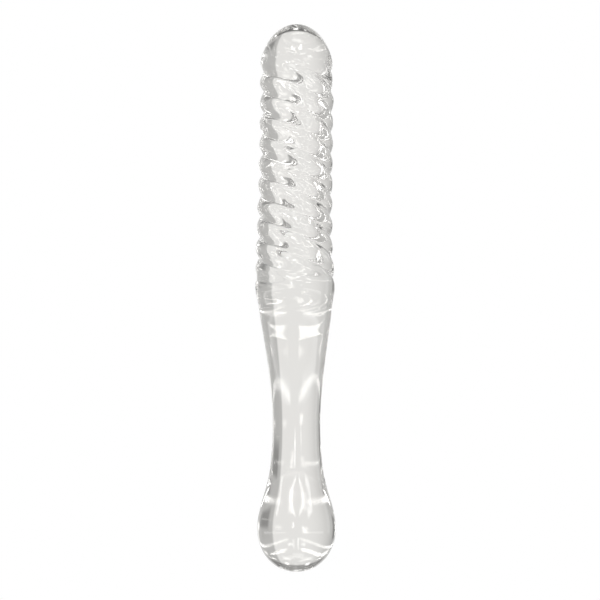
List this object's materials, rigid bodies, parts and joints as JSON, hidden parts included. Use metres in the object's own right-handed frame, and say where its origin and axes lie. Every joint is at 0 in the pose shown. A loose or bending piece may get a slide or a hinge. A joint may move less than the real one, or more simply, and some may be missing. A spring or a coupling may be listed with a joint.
{
  "type": "glass wand",
  "caption": "Hand-held solid clear glass wand: domed tip, rope-twisted shaft, smooth tapered handle with a narrow waist, and a round bulb end.",
  "frame": {"origin": "lowest point of the bulb end, on the wand's axis", "axes": "+Z along the wand's axis from the bulb end to the domed tip; X and Y are alike, because the twist repeats every quarter turn"},
  "size_m": [0.0276, 0.0276, 0.19],
  "materials": {
    "clear_glass": "polished clear borosilicate glass, colourless"
  },
  "bodies": {
    "root": {"end_bulb": "clear_glass", "core_rod": "clear_glass", "spiral_rib_1": "clear_glass", "spiral_rib_2": "clear_glass", "spiral_rib_3": "clear_glass", "spiral_rib_4": "clear_glass", "domed_tip": "clear_glass"}
  },
  "joints": []
}
